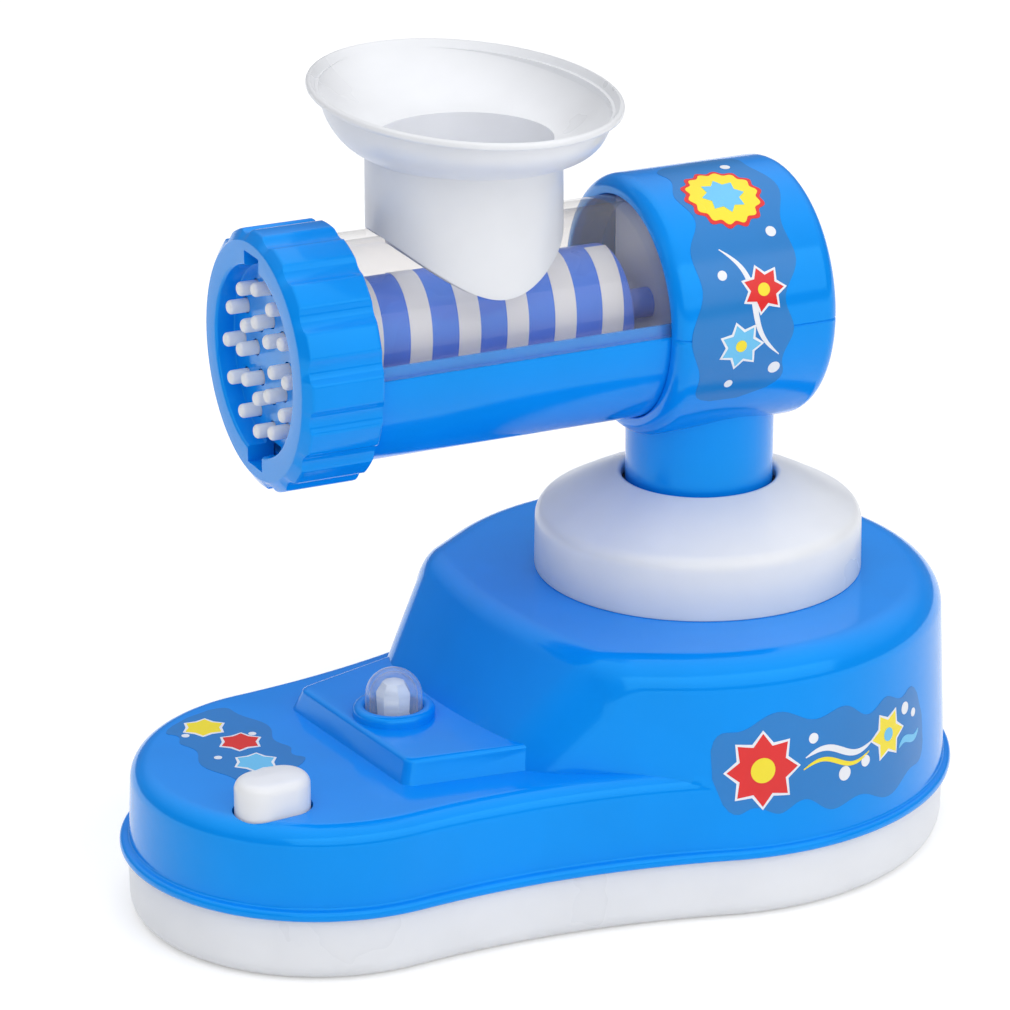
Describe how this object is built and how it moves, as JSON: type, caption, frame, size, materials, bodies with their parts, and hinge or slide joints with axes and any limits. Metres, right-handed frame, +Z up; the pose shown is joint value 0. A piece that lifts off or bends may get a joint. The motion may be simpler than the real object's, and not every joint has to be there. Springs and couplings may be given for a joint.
{
  "type": "toy meat grinder",
  "caption": "Toy meat grinder: oval hopper over a clear barrel with a striped turning drum, sliding pins in the front plate, swivelling head on a shoe-shaped battery base with button and lamp.",
  "frame": {"origin": "centre of the base on the floor it stands on", "axes": "+Z up, +X from toe to heel along the base, button on the -Y side"},
  "size_m": [0.1792, 0.1118, 0.16],
  "materials": {
    "white": "white moulded plastic",
    "blue": "bright blue moulded plastic",
    "clear": "clear moulded plastic",
    "led": "cast clear resin",
    "drum": "blue drum with a white spiral stripe",
    "grey": "plain moulded plastic",
    "gear": "acetal gears",
    "brass": "cut brass",
    "black": "black switch case",
    "board": "coated laminate",
    "cell": "printed cell jacket",
    "lead": "insulated wire",
    "steel": "plated steel"
  },
  "bodies": {
    "base": {"base_tray": "white", "base_shell": "blue", "base_screws": "steel", "battery_door": "white", "battery_door_screw": "steel", "battery_cells": "cell", "battery_contacts": "steel", "contact_springs": "steel", "swivel_collar": "white", "collar_screws": "steel", "lamp_lens": "clear", "lamp_led": "led", "lamp_holder": "white", "lamp_board": "board", "lamp_screws": "steel", "switch_body": "black", "switch_board": "board", "switch_screws": "steel", "button_spring": "steel", "battery_leads": "lead", "lamp_leads": "lead"},
    "button": {"push_button": "white", "switch_plunger": "white"},
    "head": {"head_lower": "blue", "head_upper": "blue", "housing_screws": "steel", "barrel_window": "clear", "front_cap": "blue", "neck_retainer": "grey", "retainer_screws": "steel", "gearbox_front": "grey", "gearbox_rear": "grey", "gearbox_screws": "steel", "gear_axle": "steel", "motor": "steel", "motor_screws": "steel", "pin_spring": "steel", "motor_leads": "lead"},
    "drum": {"auger_drum": "drum", "drum_end": "drum", "drum_gear": "gear"},
    "gear": {"reduction_gear": "gear"},
    "rotor": {"motor_shaft": "steel", "motor_pinion": "brass"},
    "pins": {"pin_plate": "white"},
    "hopper": {"hopper": "white"}
  },
  "joints": [
    {"name": "head_swivel", "type": "hinge", "parent": "base", "child": "head", "pos_m": [0.03805, 0, 0.0543], "axis": [0, 0, 1], "range_deg": [-54.5, 65.5], "deforming": ["motor_leads"]},
    {"name": "drum_spin", "type": "hinge", "parent": "head", "child": "drum", "pos_m": [0.03805, 0, 0.1115], "axis": [0.9954, -0.0958, 0], "continuous": true},
    {"name": "gear_spin", "type": "hinge", "parent": "head", "child": "gear", "pos_m": [0.03805, 0, 0.124], "axis": [0.9954, -0.0958, 0], "continuous": true},
    {"name": "rotor_spin", "type": "hinge", "parent": "head", "child": "rotor", "pos_m": [0.03805, 0, 0.1115], "axis": [0.9954, -0.0958, 0], "continuous": true},
    {"name": "pin_stroke", "type": "slide", "parent": "head", "child": "pins", "axis": [0.9954, -0.0958, 0], "range_m": [0, 0.002], "stiffness_N_per_m": 150, "springref_m": -0.0005, "deforming": ["pin_spring"]},
    {"name": "button_press", "type": "slide", "parent": "base", "child": "button", "axis": [0, 0, -1], "range_m": [0, 0.0025], "stiffness_N_per_m": 300, "springref_m": -0.001, "deforming": ["button_spring"]},
    {"name": "hopper_lift", "type": "slide", "parent": "head", "child": "hopper", "axis": [0, 0, 1], "range_m": [0, 0.045]}
  ],
  "couplings": [
    {"joint": "gear_spin", "follows": "drum_spin", "ratio": -4},
    {"joint": "rotor_spin", "follows": "drum_spin", "ratio": 16}
  ]
}
